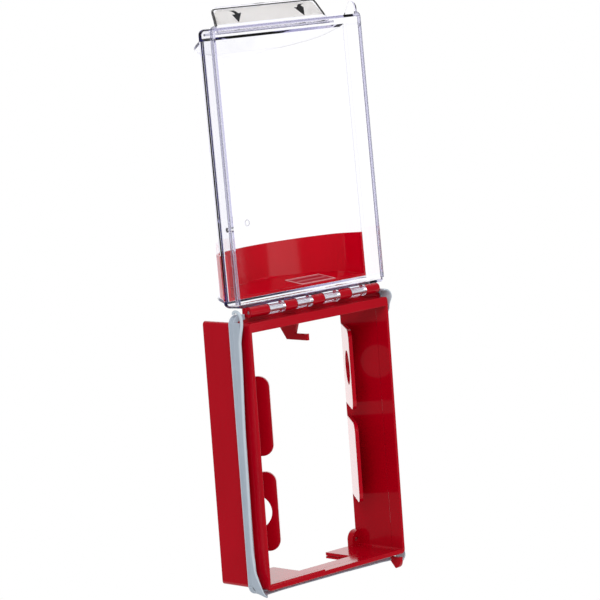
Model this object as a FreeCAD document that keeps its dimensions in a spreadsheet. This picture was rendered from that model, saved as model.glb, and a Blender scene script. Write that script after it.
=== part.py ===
import FreeCAD, Part
import math
import os
import Sketcher

# Hinged clear cover on a red wall frame, the kind that guards a manual call point.
# Millimetres. +Z is up, -Y faces the room, and the origin is the middle of the four wall screws,
# on the wall. The cover is drawn lifted, leaning back a little on its stops.

SIZES = [
    # red frame and box
    ("frame_width", 159.0),
    ("frame_height", 216.0),
    ("frame_depth", 54.0),
    ("frame_wall", 2.6),
    ("frame_corner", 3.0),
    ("flange_setback", 12.8),
    ("flange_thickness", 2.4),
    ("flange_reach", 5.0),
    ("flange_bottom_reach", 1.8),
    ("flange_corner", 6.0),
    ("tongue_length", 3.0),
    ("tongue_thickness", 1.2),
    ("moulding_clearance", 0.1),
    ("rail_height", 7.5),
    ("rail_thickness", 3.0),
    ("lip_rib_place", -18.5),
    ("lip_rib_width", 7.0),
    ("lip_rib_height", 1.6),
    ("top_wall_half", 35.0),
    ("top_notch_depth", 34.0),
    # wall ears and screw holes
    ("screw_inset_x", 4.9),
    ("screw_inset_z", 5.4),
    ("screw_hole_radius", 2.25),
    ("ear_radius", 8.0),
    ("ear_reach", 10.3),
    ("ear_thickness", 6.0),
    # leaning flaps inside the box
    ("flap_length", 48.5),
    ("flap_thickness", 3.2),
    ("flap_angle", 51.3),
    ("flap_corner", 9.0),
    ("flap_hole_radius", 14.3),
    ("flap_hole_from_edge", 19.5),
    ("left_flap_height", 65.0),
    ("left_upper_foot", -4.0),
    ("left_lower_foot", -82.0),
    ("right_flap_height", 67.0),
    ("right_upper_foot", 16.5),
    ("right_lower_foot", -62.0),
    # conduit cut-out in the bottom wall
    ("conduit_width", 61.4),
    ("conduit_middle", 9.1),
    ("conduit_depth", 30.0),
    ("runner_width", 3.0),
    ("runner_height", 5.0),
    ("runner_groove", 1.4),
    # hook under the top wall
    ("hook_place", -4.0),
    ("hook_thickness", 2.5),
    ("hook_drop", 22.2),
    ("hook_root_back", 1.5),
    ("hook_root_front", 35.4),
    ("hook_throat", 28.8),
    ("hook_heel", 18.8),
    ("hook_arm", 42.5),
    ("hook_arm_height", 5.4),
    # rubber edge gasket
    ("gasket_wall", 1.6),
    ("gasket_grip", 4.0),
    ("gasket_corner", 4.5),
    ("gasket_bottom_gap", 0.3),
    ("gasket_hinge_gap", 1.5),
    # hinge
    ("hinge_inset_left", 8.0),
    ("hinge_inset_right", 3.5),
    ("knuckle_pitch", 31.2),
    ("knuckle_shift", 5.0),
    ("cover_knuckle", 17.4),
    ("knuckle_radius", 4.2),
    ("knuckle_gap", 0.3),
    ("axis_setback", 8.6),
    ("axis_rise", 7.5),
    ("pin_radius", 1.5),
    ("pin_clearance", 0.05),
    ("pin_inset", 0.8),
    ("stop_clearance", 0.3),
    ("cover_lean", 1.6),
    # clear cover
    ("cover_wall", 2.2),
    ("cover_side_clearance", 0.9),
    ("cover_corner", 3.0),
    ("rim_offset", 2.2),
    ("edge_offset", 4.5),
    ("skirt_depth", 17.0),
    ("ledge_round", 5.0),
    ("dome_side_ledge", 2.6),
    ("shoulder_start_inset", 7.1),
    ("shoulder_rise", 12.0),
    ("shoulder_end_inset", 18.6),
    ("shoulder_top", 24.7),
    ("shoulder_radius", 23.4),
    ("dome_rise", 40.0),
    ("dome_root", 8.0),
    ("dome_hinge_ledge", 3.0),
    ("dome_hinge_slope", 6.6),
    ("dome_free_ledge", 7.5),
    ("dome_free_slope", 16.0),
    ("crown_round", 7.0),
    ("crown_margin", 0.8),
    ("gate_place", 53.0),
    ("gate_height", 67.0),
    ("gate_sphere", 3.2),
    ("gate_dip", 0.9),
    # lift tab, seal ear and seal hole
    ("tab_root_inset", 19.6),
    ("tab_tip_inset", 25.6),
    ("tab_length", 18.0),
    ("tab_thickness", 2.4),
    ("tab_flare", 29.0),
    ("tab_corner", 4.0),
    ("seal_ear_inset", 4.6),
    ("seal_ear_height", 10.5),
    ("seal_ear_nose", 6.5),
    ("seal_lug_place", 75.5),
    ("seal_lug_thickness", 3.0),
    ("seal_lug_height", 13.0),
    ("seal_lug_nose", 6.0),
    ("seal_lug_stem", 1.2),
    ("seal_lug_shelf", 3.6),
    ("seal_lug_gap", 0.5),
    ("seal_hole_radius", 1.7),
    ("seal_hole_height", 63.0),
    ("seal_hole_depth", 4.8),
    # red hood and the two labels
    ("hood_gap", 0.3),
    ("hood_wall", 2.0),
    ("hood_height", 42.0),
    ("hood_start", 14.2),
    ("label_thickness", 0.25),
    ("label_margin", 2.5),
    ("sticker_width", 39.0),
    ("sticker_length", 20.0),
    ("sticker_middle", 25.5),
    ("sticker_depth", 0.5),
]

doc = FreeCAD.newDocument("hinged_guard")
sheet = doc.addObject("Spreadsheet::Sheet", "Sizes")
for row, (alias, number) in enumerate(SIZES, start=1):
    sheet.set("A%d" % row, alias)
    sheet.set("B%d" % row, repr(number))
    sheet.setAlias("B%d" % row, alias)
doc.recompute()


class Length:
    """A size that knows both its number and the sheet formula that gives it."""

    def __init__(self, number, formula):
        self.number = number
        self.formula = formula

    def joined(self, sign, other, number):
        return Length(number, "(%s %s %s)" % (self.formula, sign, other.formula))

    def __add__(self, other):
        other = as_length(other)
        return self.joined("+", other, self.number + other.number)

    def __sub__(self, other):
        other = as_length(other)
        return self.joined("-", other, self.number - other.number)

    def __mul__(self, other):
        other = as_length(other)
        return self.joined("*", other, self.number * other.number)

    def __truediv__(self, other):
        other = as_length(other)
        return self.joined("/", other, self.number / other.number)

    def __radd__(self, other):
        return as_length(other) + self

    def __rsub__(self, other):
        return as_length(other) - self

    def __rmul__(self, other):
        return as_length(other) * self

    def __neg__(self):
        return as_length(0.0) - self


def as_length(value):
    if isinstance(value, Length):
        return value
    return Length(float(value), "(%r)" % float(value))


def slope_angle(climb):
    """The angle in degrees of a line that climbs so much for each millimetre along."""
    return Length(math.degrees(math.atan(climb.number)), "atan(%s)" % climb.formula)


def slope_stretch(climb):
    """How much longer such a line is than its run."""
    square = 1 + climb * climb
    return Length(math.sqrt(square.number), "sqrt(%s)" % square.formula)


size = {alias: Length(number, "Sizes." + alias) for alias, number in SIZES}


def bind(target, **formulas):
    """Tie properties to the sheet; a double underscore in a name stands for a dot."""
    for name, value in formulas.items():
        target.setExpression(name.replace("__", "."), as_length(value).formula)


# Sketches. A sketch lies on one of the three planes, lifted along that plane's normal:
# XY looks along +Z, XZ along -Y (so a lift there is a distance from the wall), YZ along +X.

PLANE_TURN = {
    "XY": FreeCAD.Rotation(),
    "XZ": FreeCAD.Rotation(FreeCAD.Vector(1, 0, 0), 90),
    "YZ": FreeCAD.Rotation(FreeCAD.Vector(1, 1, 1), 120),
}
PLANE_LIFT = {"XY": ("z", 1), "XZ": ("y", -1), "YZ": ("x", 1)}


def body_sketch(body, name, plane, lift=0.0):
    sketch = body.newObject("Sketcher::SketchObject", name)
    support = [part for part in body.Origin.OriginFeatures if part.Role == plane + "_Plane"][0]
    sketch.AttachmentSupport = (support, [""])
    sketch.MapMode = "FlatFace"
    bind(sketch, AttachmentOffset__Base__z=lift)
    return sketch


def tilted_sketch(body, name, plane, base, axis, angle):
    """A sketch moved to base and turned about an axis, both in the plane's own directions."""
    sketch = body_sketch(body, name, plane, base[2])
    sketch.AttachmentOffset = FreeCAD.Placement(
        FreeCAD.Vector(), FreeCAD.Rotation(FreeCAD.Vector(*axis), angle.number))
    bind(sketch, AttachmentOffset__Base__x=base[0], AttachmentOffset__Base__y=base[1],
         AttachmentOffset__Rotation__Angle=angle)
    return sketch


def free_sketch(name, plane, lift):
    sketch = doc.addObject("Sketcher::SketchObject", name)
    sketch.Placement = FreeCAD.Placement(FreeCAD.Vector(), PLANE_TURN[plane])
    axis, sign = PLANE_LIFT[plane]
    bind(sketch, **{"Placement__Base__" + axis: as_length(lift) * sign})
    return sketch


def dimension(sketch, kind, *where, value):
    index = sketch.addConstraint(Sketcher.Constraint(kind, *where, value.number))
    sketch.setExpression("Constraints[%d]" % index, value.formula)


def arc_between(start, end, radius):
    """The short arc from start to end that turns left."""
    chord = end - start
    middle = (start + end) * 0.5
    left = FreeCAD.Vector(-chord.y, chord.x, 0).normalize()
    centre = middle + left * math.sqrt(max(radius ** 2 - chord.Length ** 2 / 4, 0.0))
    first = math.atan2(start.y - centre.y, start.x - centre.x)
    last = math.atan2(end.y - centre.y, end.x - centre.x)
    if last < first:
        last += 2 * math.pi
    whole = Part.Circle(centre, FreeCAD.Vector(0, 0, 1), radius)
    return Part.ArcOfCircle(whole, first, last)


def outline(sketch, corners):
    """A closed outline, anticlockwise. A corner is (x, y), or (x, y, radius) where the edge
    that leaves it is an arc of that radius, bulging outwards."""
    spots = [tuple(as_length(value) for value in corner) for corner in corners]
    points = [FreeCAD.Vector(spot[0].number, spot[1].number, 0) for spot in spots]
    edges = []
    for index, spot in enumerate(spots):
        start = points[index]
        end = points[(index + 1) % len(points)]
        if len(spot) == 3:
            edges.append(sketch.addGeometry(arc_between(start, end, spot[2].number)))
        else:
            edges.append(sketch.addGeometry(Part.LineSegment(start, end)))
    for index, edge in enumerate(edges):
        following = edges[(index + 1) % len(edges)]
        sketch.addConstraint(Sketcher.Constraint("Coincident", edge, 2, following, 1))
    for edge, spot in zip(edges, spots):
        dimension(sketch, "DistanceX", edge, 1, value=spot[0])
        dimension(sketch, "DistanceY", edge, 1, value=spot[1])
        if len(spot) == 3:
            dimension(sketch, "Radius", edge, value=spot[2])


def circle(sketch, x, y, radius):
    x, y, radius = as_length(x), as_length(y), as_length(radius)
    centre = FreeCAD.Vector(x.number, y.number, 0)
    edge = sketch.addGeometry(Part.Circle(centre, FreeCAD.Vector(0, 0, 1), radius.number))
    dimension(sketch, "DistanceX", edge, 3, value=x)
    dimension(sketch, "DistanceY", edge, 3, value=y)
    dimension(sketch, "Radius", edge, value=radius)


def rectangle(sketch, left, bottom, right, top):
    outline(sketch, [(left, bottom), (right, bottom), (right, top), (left, top)])


def rounded_rectangle(sketch, left, bottom, right, top, corner):
    outline(sketch, [
        (left + corner, bottom), (right - corner, bottom, corner),
        (right, bottom + corner), (right, top - corner, corner),
        (right - corner, top), (left + corner, top, corner),
        (left, top - corner), (left, bottom + corner, corner),
    ])


def centred_round(sketch, half_width, half_height, corner):
    rounded_rectangle(sketch, -half_width, -half_height, half_width, half_height, corner)


def mirrored(corners):
    """The corners of an outline flipped left to right, still anticlockwise."""
    flipped = []
    for index in range(len(corners) - 1, -1, -1):
        arriving_arc = corners[index - 1][2:]
        flipped.append((-corners[index][0], corners[index][1]) + arriving_arc)
    return flipped


# Features

def pad(body, sketch, length, reverse=False):
    feature = body.newObject("PartDesign::Pad", sketch.Name + "_pad")
    feature.Profile = sketch
    feature.Reversed = reverse
    bind(feature, Length=length)
    return feature


def pocket(body, sketch, length):
    """Cut along the sketch's normal, and make sure that something was cut."""
    doc.recompute()
    before = body.Shape.Volume
    feature = body.newObject("PartDesign::Pocket", sketch.Name + "_pocket")
    feature.Profile = sketch
    feature.Reversed = True
    bind(feature, Length=length)
    doc.recompute()
    if body.Shape.Volume >= before:
        raise RuntimeError(sketch.Name + " cut nothing")
    return feature


def extrude(profile, length):
    feature = doc.addObject("Part::Extrusion", profile.Name + "_prism")
    feature.Base = profile
    feature.DirMode = "Normal"
    feature.Solid = True
    bind(feature, LengthFwd=length)
    return feature


def inset_profile(profile, inset):
    feature = doc.addObject("Part::Offset2D", profile.Name + "_inset")
    feature.Source = profile
    bind(feature, Value=-inset)
    return feature


def boolean(kind, name, shapes):
    feature = doc.addObject("Part::" + kind, name)
    feature.Shapes = shapes
    return feature


def cut(name, base, tool):
    feature = doc.addObject("Part::Cut", name)
    feature.Base = base
    feature.Tool = tool
    return feature


def block(name, low, high):
    feature = doc.addObject("Part::Box", name)
    low = [as_length(value) for value in low]
    high = [as_length(value) for value in high]
    bind(feature, Length=high[0] - low[0], Width=high[1] - low[1], Height=high[2] - low[2],
         Placement__Base__x=low[0], Placement__Base__y=low[1], Placement__Base__z=low[2])
    return feature


def rod(name, start, length, radius, y=0.0, z=0.0):
    """A cylinder along X."""
    feature = doc.addObject("Part::Cylinder", name)
    feature.Placement = FreeCAD.Placement(
        FreeCAD.Vector(), FreeCAD.Rotation(FreeCAD.Vector(0, 1, 0), 90))
    bind(feature, Radius=radius, Height=length, Placement__Base__x=start,
         Placement__Base__y=y, Placement__Base__z=z)
    return feature


# Driving places of the frame

half_width = size["frame_width"] / 2
half_height = size["frame_height"] / 2
inner_half_width = half_width - size["frame_wall"]
inner_half_height = half_height - size["frame_wall"]
inner_corner = size["frame_corner"] / 2
root_overlap = size["frame_wall"] / 2
flange_front = size["frame_depth"] - size["flange_setback"]
box_depth = flange_front - size["flange_thickness"]
axis_y = size["axis_setback"] - size["frame_depth"]
axis_z = half_height + size["axis_rise"]
screw_x = inner_half_width - size["screw_inset_x"]
screw_z = inner_half_height - size["screw_inset_z"]
hinge_left = size["hinge_inset_left"] - half_width
hinge_right = half_width - size["hinge_inset_right"]

# Driving places of the cover, about the hinge axis: Y runs away from its open rim, Z to its free end.

rim = -size["rim_offset"]
ledge = size["skirt_depth"] - size["rim_offset"]
crown = ledge + size["dome_rise"]
hinge_end = size["edge_offset"]
cover_height = size["frame_height"] + 2 * (size["axis_rise"] - size["edge_offset"])
free_end = hinge_end + cover_height
cover_half = half_width + size["cover_side_clearance"] + size["cover_wall"]
cover_width = 2 * cover_half
half_cover_wall = size["cover_wall"] / 2


def cover_knuckles():
    """Left and right ends of the cover's knuckles along X."""
    places = []
    for step in (-1.5, -0.5, 0.5, 1.5):
        middle = size["knuckle_shift"] + size["knuckle_pitch"] * step
        places.append((middle - size["cover_knuckle"] / 2, middle + size["cover_knuckle"] / 2))
    return places


def frame_knuckles():
    """The frame's knuckles fill what the cover's leave, less a gap on each side."""
    places = []
    left = hinge_left
    for cover_left, cover_right in cover_knuckles():
        places.append((left, cover_left - size["knuckle_gap"]))
        left = cover_right + size["knuckle_gap"]
    places.append((left, hinge_right))
    return places


# The box against the wall

def make_back_box():
    """Walls, screw ears, leaning flaps, a hook, and a conduit gap with runners. The top wall
    is cut away beside its middle, behind a strip along its front edge."""
    body = doc.addObject("PartDesign::Body", "back_box")
    walls = body_sketch(body, "box_walls", "XZ")
    centred_round(walls, half_width, half_height, size["frame_corner"])
    centred_round(walls, inner_half_width, inner_half_height, inner_corner)
    pad(body, walls, box_depth)

    tongue = body_sketch(body, "box_tongue", "XZ", box_depth)
    grown = size["tongue_thickness"]
    centred_round(tongue, inner_half_width + grown, inner_half_height + grown, inner_corner + grown)
    centred_round(tongue, inner_half_width, inner_half_height, inner_corner)
    pad(body, tongue, size["tongue_length"])

    notches = body_sketch(body, "box_top_notches", "XZ")
    notch = [(size["top_wall_half"], inner_half_height - root_overlap),
             (inner_half_width, inner_half_height - root_overlap),
             (inner_half_width, half_height + root_overlap),
             (size["top_wall_half"], half_height + root_overlap)]
    outline(notches, notch)
    outline(notches, mirrored(notch))
    pocket(body, notches, size["top_notch_depth"])

    ears = body_sketch(body, "box_ears", "XZ")
    for side in (-1, 1):
        for level in (-1, 1):
            add_ear(ears, side, level)
    pad(body, ears, size["ear_thickness"])

    add_flap(body, "left_upper", -1, holed=False)
    add_flap(body, "left_lower", -1, holed=True)
    add_flap(body, "right_upper", 1, holed=True)
    add_flap(body, "right_lower", 1, holed=False)

    runners = body_sketch(body, "box_runners", "XZ")
    add_runner(runners, -1)
    add_runner(runners, 1)
    pad(body, runners, size["conduit_depth"])
    gap = body_sketch(body, "box_conduit_gap", "XZ")
    left = size["conduit_middle"] - size["conduit_width"] / 2
    right = size["conduit_middle"] + size["conduit_width"] / 2
    rectangle(gap, left, -half_height - root_overlap, right, -inner_half_height + root_overlap)
    pocket(body, gap, size["conduit_depth"])
    add_hook(body)
    return body


def add_ear(sketch, side, level):
    """A thick round-cornered ear in a corner of the box, with its screw hole. The lower ears stand on
    the bottom wall; the upper ones hang on the side walls alone."""
    root = inner_half_width + root_overlap
    tip = inner_half_width - size["ear_reach"]
    height = screw_z * level
    radius = size["ear_radius"]
    if level < 0:
        end = -inner_half_height - root_overlap
        corners = [(tip, end), (root, end), (root, height + radius),
                   (tip + radius, height + radius, radius), (tip, height)]
    else:
        end = height + size["screw_inset_z"] / 2
        corners = [(root, end), (tip, end), (tip, height, radius),
                   (tip + radius, height - radius), (root, height - radius)]
    outline(sketch, corners if side > 0 else mirrored(corners))
    circle(sketch, screw_x * side, height, size["screw_hole_radius"])


def add_flap(body, name, side, holed):
    """A flap from the back edge of a side wall, leaning in and towards the room."""
    angle = size["flap_angle"] if side < 0 else 180 - size["flap_angle"]
    base = (inner_half_width * side, size[name + "_foot"], 0.0)
    sketch = tilted_sketch(body, "flap_" + name, "XZ", base, (0, -1, 0), angle)
    length = size["flap_length"]
    height = size["left_flap_height"] if side < 0 else size["right_flap_height"]
    corner = size["flap_corner"]
    outline(sketch, [(0, 0), (length - corner, 0, corner), (length, corner),
                     (length, height - corner, corner), (length - corner, height), (0, height)])
    if holed:
        circle(sketch, length - size["flap_hole_from_edge"], height / 2, size["flap_hole_radius"])
    pad(body, sketch, size["flap_thickness"], reverse=side > 0)


def add_runner(sketch, side):
    """A grooved runner beside the conduit gap, for a slide-in closing plate."""
    inner = size["conduit_width"] / 2 + size["conduit_middle"] * side
    outer = inner + size["runner_width"]
    top = -inner_half_height
    low = top - size["runner_height"]
    middle = (top + low) / 2
    groove = size["runner_groove"]
    corners = [(inner, low), (outer, low), (outer, top), (inner, top),
               (inner, middle + groove / 2), (inner + groove, middle + groove / 2),
               (inner + groove, middle - groove / 2), (inner, middle - groove / 2)]
    outline(sketch, corners if side > 0 else mirrored(corners))


def add_hook(body):
    """A hook under the top wall, its arm towards the room."""
    sketch = body_sketch(body, "box_hook", "YZ", size["hook_place"] - size["hook_thickness"] / 2)
    top = inner_half_height + root_overlap
    low = inner_half_height - size["hook_drop"]
    shelf = low + size["hook_arm_height"]
    outline(sketch, [(-size["hook_arm"], low), (-size["hook_heel"], low),
                     (-size["hook_root_back"], top), (-size["hook_root_front"], top),
                     (-size["hook_throat"], shelf), (-size["hook_arm"], shelf)])
    pad(body, sketch, size["hook_thickness"])


# The frame on the room side

def make_front_frame():
    """The lip and flange that the cover closes over, with the hinge knuckles, the top rail, a small
    rib on the lower lip and the seal lug."""
    body = doc.addObject("PartDesign::Body", "front_frame")
    lip = body_sketch(body, "frame_lip", "XZ", box_depth)
    centred_round(lip, half_width, half_height, size["frame_corner"])
    centred_round(lip, inner_half_width, inner_half_height, inner_corner)
    pad(body, lip, size["frame_depth"] - box_depth)

    flange = body_sketch(body, "frame_flange", "XZ", box_depth)
    reach = size["flange_reach"]
    rounded_rectangle(flange, -half_width - reach, -half_height - size["flange_bottom_reach"],
                      half_width + reach, half_height + reach, size["flange_corner"])
    centred_round(flange, half_width - root_overlap, half_height - root_overlap, inner_corner)
    pad(body, flange, size["flange_thickness"])

    rail = body_sketch(body, "frame_rail", "XZ", size["frame_depth"] - size["rail_thickness"])
    rail_half = inner_half_width + root_overlap
    rectangle(rail, -rail_half, half_height - size["rail_height"],
              rail_half, half_height - root_overlap)
    pad(body, rail, size["rail_thickness"])

    rib = body_sketch(body, "frame_lip_rib", "XZ", size["frame_depth"] - size["rail_thickness"])
    rectangle(rib, size["lip_rib_place"] - size["lip_rib_width"] / 2, -inner_half_height - root_overlap,
              size["lip_rib_place"] + size["lip_rib_width"] / 2, size["lip_rib_height"] - inner_half_height)
    pad(body, rib, size["rail_thickness"])

    lug = body_sketch(body, "frame_seal_lug", "YZ", size["seal_lug_place"] - size["seal_lug_thickness"] / 2)
    outline(lug, lug_corners())
    pad(body, lug, size["seal_lug_thickness"])

    for number, (left, right) in enumerate(frame_knuckles(), start=1):
        barrel = body_sketch(body, "frame_barrel_%d" % number, "YZ", left)
        circle(barrel, axis_y, axis_z, size["knuckle_radius"])
        leg = body_sketch(body, "frame_leg_%d" % number, "YZ", left)
        outline(leg, leg_corners())
        pad(body, leg, right - left)
        pad(body, barrel, right - left)

    rebate = body_sketch(body, "frame_rebate", "XZ", box_depth)
    grown = size["tongue_thickness"] + size["moulding_clearance"]
    centred_round(rebate, inner_half_width + grown, inner_half_height + grown, inner_corner + grown)
    pocket(body, rebate, size["tongue_length"] + size["moulding_clearance"])

    bore = body_sketch(body, "frame_bore", "YZ", -half_width)
    circle(bore, axis_y, axis_z, size["pin_radius"] + size["pin_clearance"])
    pocket(body, bore, size["frame_width"])
    return body


def lug_corners():
    """The lug below a corner of the frame: its stem drops behind the closed cover's rim, and its
    nose reaches forwards under the cover, beside the cover's own seal ear."""
    nose = size["seal_lug_nose"]
    foot = root_overlap - half_height
    front = nose / 6 - size["frame_depth"]
    stem = -flange_front - size["seal_lug_stem"]
    shelf = -half_height - size["seal_lug_shelf"]
    low = -half_height - size["seal_lug_height"]
    return [(stem, foot), (stem, shelf), (front, shelf), (front, low + nose, nose),
            (front + nose, low), (-box_depth, shelf), (-box_depth, foot)]


def leg_corners():
    """The web behind a frame knuckle: it climbs the flange, holds the barrel, and its top is the
    stop that the lifted cover leans on."""
    front = -flange_front
    back = -box_depth
    lean_drop = (back - axis_y) * size["cover_lean"] * math.radians(1.0)
    top = axis_z + size["edge_offset"] - size["stop_clearance"] - lean_drop
    neck = size["knuckle_radius"] / 2
    foot = half_height - root_overlap
    return [(axis_y, axis_z - neck), (front, axis_z - neck), (front, foot), (back, foot),
            (back, top), (front, top), (front, axis_z + neck), (axis_y, axis_z + neck)]


def make_edge_gasket():
    """The grey rubber edge: a channel pushed over the flange, round all but the hinge side."""
    body = doc.addObject("PartDesign::Body", "edge_gasket")
    clearance = size["moulding_clearance"]
    skin = clearance + size["gasket_wall"]
    side = half_width + size["flange_reach"]
    top = half_height + size["flange_reach"]
    bottom = half_height + size["flange_bottom_reach"]
    grip = size["gasket_grip"]
    back = box_depth - skin
    channel = body_sketch(body, "gasket_channel", "XZ", back)
    rounded_rectangle(channel, -side - skin, -bottom - skin, side + skin, top + skin,
                      size["gasket_corner"])
    rounded_rectangle(channel, grip - side, -half_height - size["gasket_bottom_gap"],
                      side - grip, top - grip, size["frame_corner"])
    thickness = size["flange_thickness"] + 2 * skin
    pad(body, channel, thickness)

    slot = body_sketch(body, "gasket_slot", "XZ", box_depth - clearance)
    rounded_rectangle(slot, -side - clearance, -bottom - clearance, side + clearance, top + clearance,
                      size["flange_corner"])
    pocket(body, slot, size["flange_thickness"] + 2 * clearance)

    lug_gap = body_sketch(body, "gasket_lug_gap", "XZ", box_depth - clearance)
    room = size["seal_lug_thickness"] / 2 + size["seal_lug_gap"]
    rectangle(lug_gap, size["seal_lug_place"] - room, -bottom - 2 * skin,
              size["seal_lug_place"] + room, -half_height)
    pocket(body, lug_gap, thickness)

    opening = body_sketch(body, "gasket_hinge_opening", "XZ", back - clearance)
    gap = size["gasket_hinge_gap"]
    rectangle(opening, hinge_left - gap, half_height, hinge_right + gap, top + skin + gap)
    pocket(body, opening, thickness + 2 * clearance)
    return body


def make_hinge_pin():
    inset = size["pin_inset"]
    length = hinge_right - hinge_left - 2 * inset
    return rod("hinge_pin", hinge_left + inset, length, size["pin_radius"], axis_y, axis_z)


# The cover and what rides on it, drawn about the hinge axis

def hang_on_hinge(piece):
    """Put a piece at the hinge axis, leaning back on the stops."""
    lean = FreeCAD.Rotation(FreeCAD.Vector(-1, 0, 0), size["cover_lean"].number)
    piece.Placement = FreeCAD.Placement(FreeCAD.Vector(), lean)
    bind(piece, Placement__Base__y=axis_y, Placement__Base__z=axis_z,
         Placement__Rotation__Angle=size["cover_lean"])
    return piece


def skirt_block(name, inset, overshoot):
    """The shallow tray round the rim: its front view and its side view, each extruded, in common."""
    front = free_sketch(name + "_front", "XZ", inset - ledge)
    half = cover_half - inset
    low = hinge_end + inset
    high = free_end - inset
    far = ledge - inset
    near = rim - overshoot
    rounded_rectangle(front, -half, low, half, high, size["cover_corner"] - inset)
    prism = extrude(front, far - near)
    side = free_sketch(name + "_side", "YZ", -cover_half)
    corner = size["ledge_round"] - inset
    outline(side, [(near, low), (far - corner, low, corner), (far, low + corner),
                   (far, high - corner, corner), (far - corner, high), (near, high)])
    slab = extrude(side, cover_width)
    return boolean("MultiCommon", name, [prism, slab])


def arch_radius():
    """The radius of the flat arch between the bowed front's shoulders."""
    end = cover_half - size["shoulder_end_inset"]
    bow = size["dome_rise"] - size["shoulder_top"]
    return (end * end + bow * bow) / (2 * bow)


def dome_plan(name):
    """The bowed front seen from its end: sloping sides, round shoulders and a flat arch."""
    sketch = free_sketch(name + "_plan", "XY", hinge_end)
    root = ledge - size["dome_root"]
    wide = cover_half - size["dome_side_ledge"]
    start = cover_half - size["shoulder_start_inset"]
    start_depth = ledge + size["shoulder_rise"]
    end = cover_half - size["shoulder_end_inset"]
    end_depth = ledge + size["shoulder_top"]
    turn = size["shoulder_radius"]
    arch = arch_radius()
    outline(sketch, [(-wide, root), (wide, root), (wide, ledge), (start, start_depth, turn),
                     (end, end_depth, arch), (-end, end_depth, turn), (-start, start_depth),
                     (-wide, ledge)])
    return sketch


def dome_side(name):
    """The bowed front seen from the side: both ends slope in, and the crown's ends are rounded.
    Its crown passes a little outside the arch, so that the two never just touch."""
    sketch = free_sketch(name + "_side", "YZ", -cover_half)
    root = ledge - size["dome_root"]
    top = crown + size["crown_margin"]
    low = hinge_end + size["dome_hinge_ledge"]
    high = free_end - size["dome_free_ledge"]
    turn = size["crown_round"]
    share = (size["dome_rise"] - turn) / size["dome_rise"]
    low_edge = low + size["dome_hinge_slope"] * share
    high_edge = high - size["dome_free_slope"] * share
    low_crown = low + size["dome_hinge_slope"] + turn
    high_crown = high - size["dome_free_slope"] - turn
    outline(sketch, [(root, low), (ledge, low), (top - turn, low_edge, turn * 1.2),
                     (top, low_crown), (top, high_crown, turn * 1.6),
                     (top - turn, high_edge), (ledge, high), (root, high)])
    return sketch


def dome_block(name, inset):
    """The bowed front as a solid: its two views, each extruded, in common, shrunk by inset."""
    views = [dome_plan(name), dome_side(name)]
    if inset.number:
        views = [inset_profile(view, inset) for view in views]
    prism = extrude(views[0], cover_height)
    slab = extrude(views[1], cover_width)
    return boolean("MultiCommon", name, [prism, slab])


def gate_mark():
    """A ball that dips into the arch and leaves the small round mark of the moulding gate."""
    ball = doc.addObject("Part::Sphere", "cover_gate_ball")
    across = size["gate_place"]
    arch = arch_radius()
    sag = across * across / (2 * arch) * (1 + across * across / (4 * arch * arch))
    stand_off = size["gate_sphere"] - size["gate_dip"]
    bind(ball, Radius=size["gate_sphere"],
         Placement__Base__x=-across * (1 + stand_off / arch),
         Placement__Base__y=crown - sag + stand_off * (1 - sag / arch),
         Placement__Base__z=hinge_end + size["gate_height"])
    return ball


def tab_outline(sketch, margin):
    """The lift tab's tapering shape; the film on it is smaller by a margin."""
    root = cover_half - size["tab_root_inset"] - margin
    tip = cover_half - size["tab_tip_inset"] - margin
    corner = size["tab_corner"]
    low = margin * 3
    top = size["tab_length"] + size["ledge_round"] - margin
    splay = (root - tip) / (top - low)
    outline(sketch, [(-root, low), (root, low), (tip + splay * corner, top - corner, corner * 1.45),
                     (tip - corner, top), (-tip + corner, top, corner * 1.45),
                     (-tip - splay * corner, top - corner)])


def lift_tab():
    """The tab that fingers lift, flaring away from the rim at the free end."""
    sketch = free_sketch("cover_lift_tab", "XZ", -ledge)
    turn = 90 - size["tab_flare"]
    sketch.Placement = FreeCAD.Placement(
        FreeCAD.Vector(), FreeCAD.Rotation(FreeCAD.Vector(1, 0, 0), turn.number))
    bind(sketch, Placement__Base__z=free_end - size["ledge_round"], Placement__Rotation__Angle=turn)
    tab_outline(sketch, as_length(0))
    return extrude(sketch, size["tab_thickness"])


def seal_ear():
    """A small rounded ear on the free end, near a corner, for a breakable seal."""
    sketch = free_sketch("cover_seal_ear", "YZ", cover_half - size["seal_ear_inset"])
    nose = size["seal_ear_nose"]
    top = free_end + size["seal_ear_height"]
    far = ledge - half_cover_wall
    outline(sketch, [(rim, free_end - half_cover_wall), (far - size["ledge_round"], free_end - half_cover_wall),
                     (far, free_end - size["ledge_round"]), (rim + nose, top, nose), (rim, top - nose)])
    return extrude(sketch, size["cover_wall"])


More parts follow.
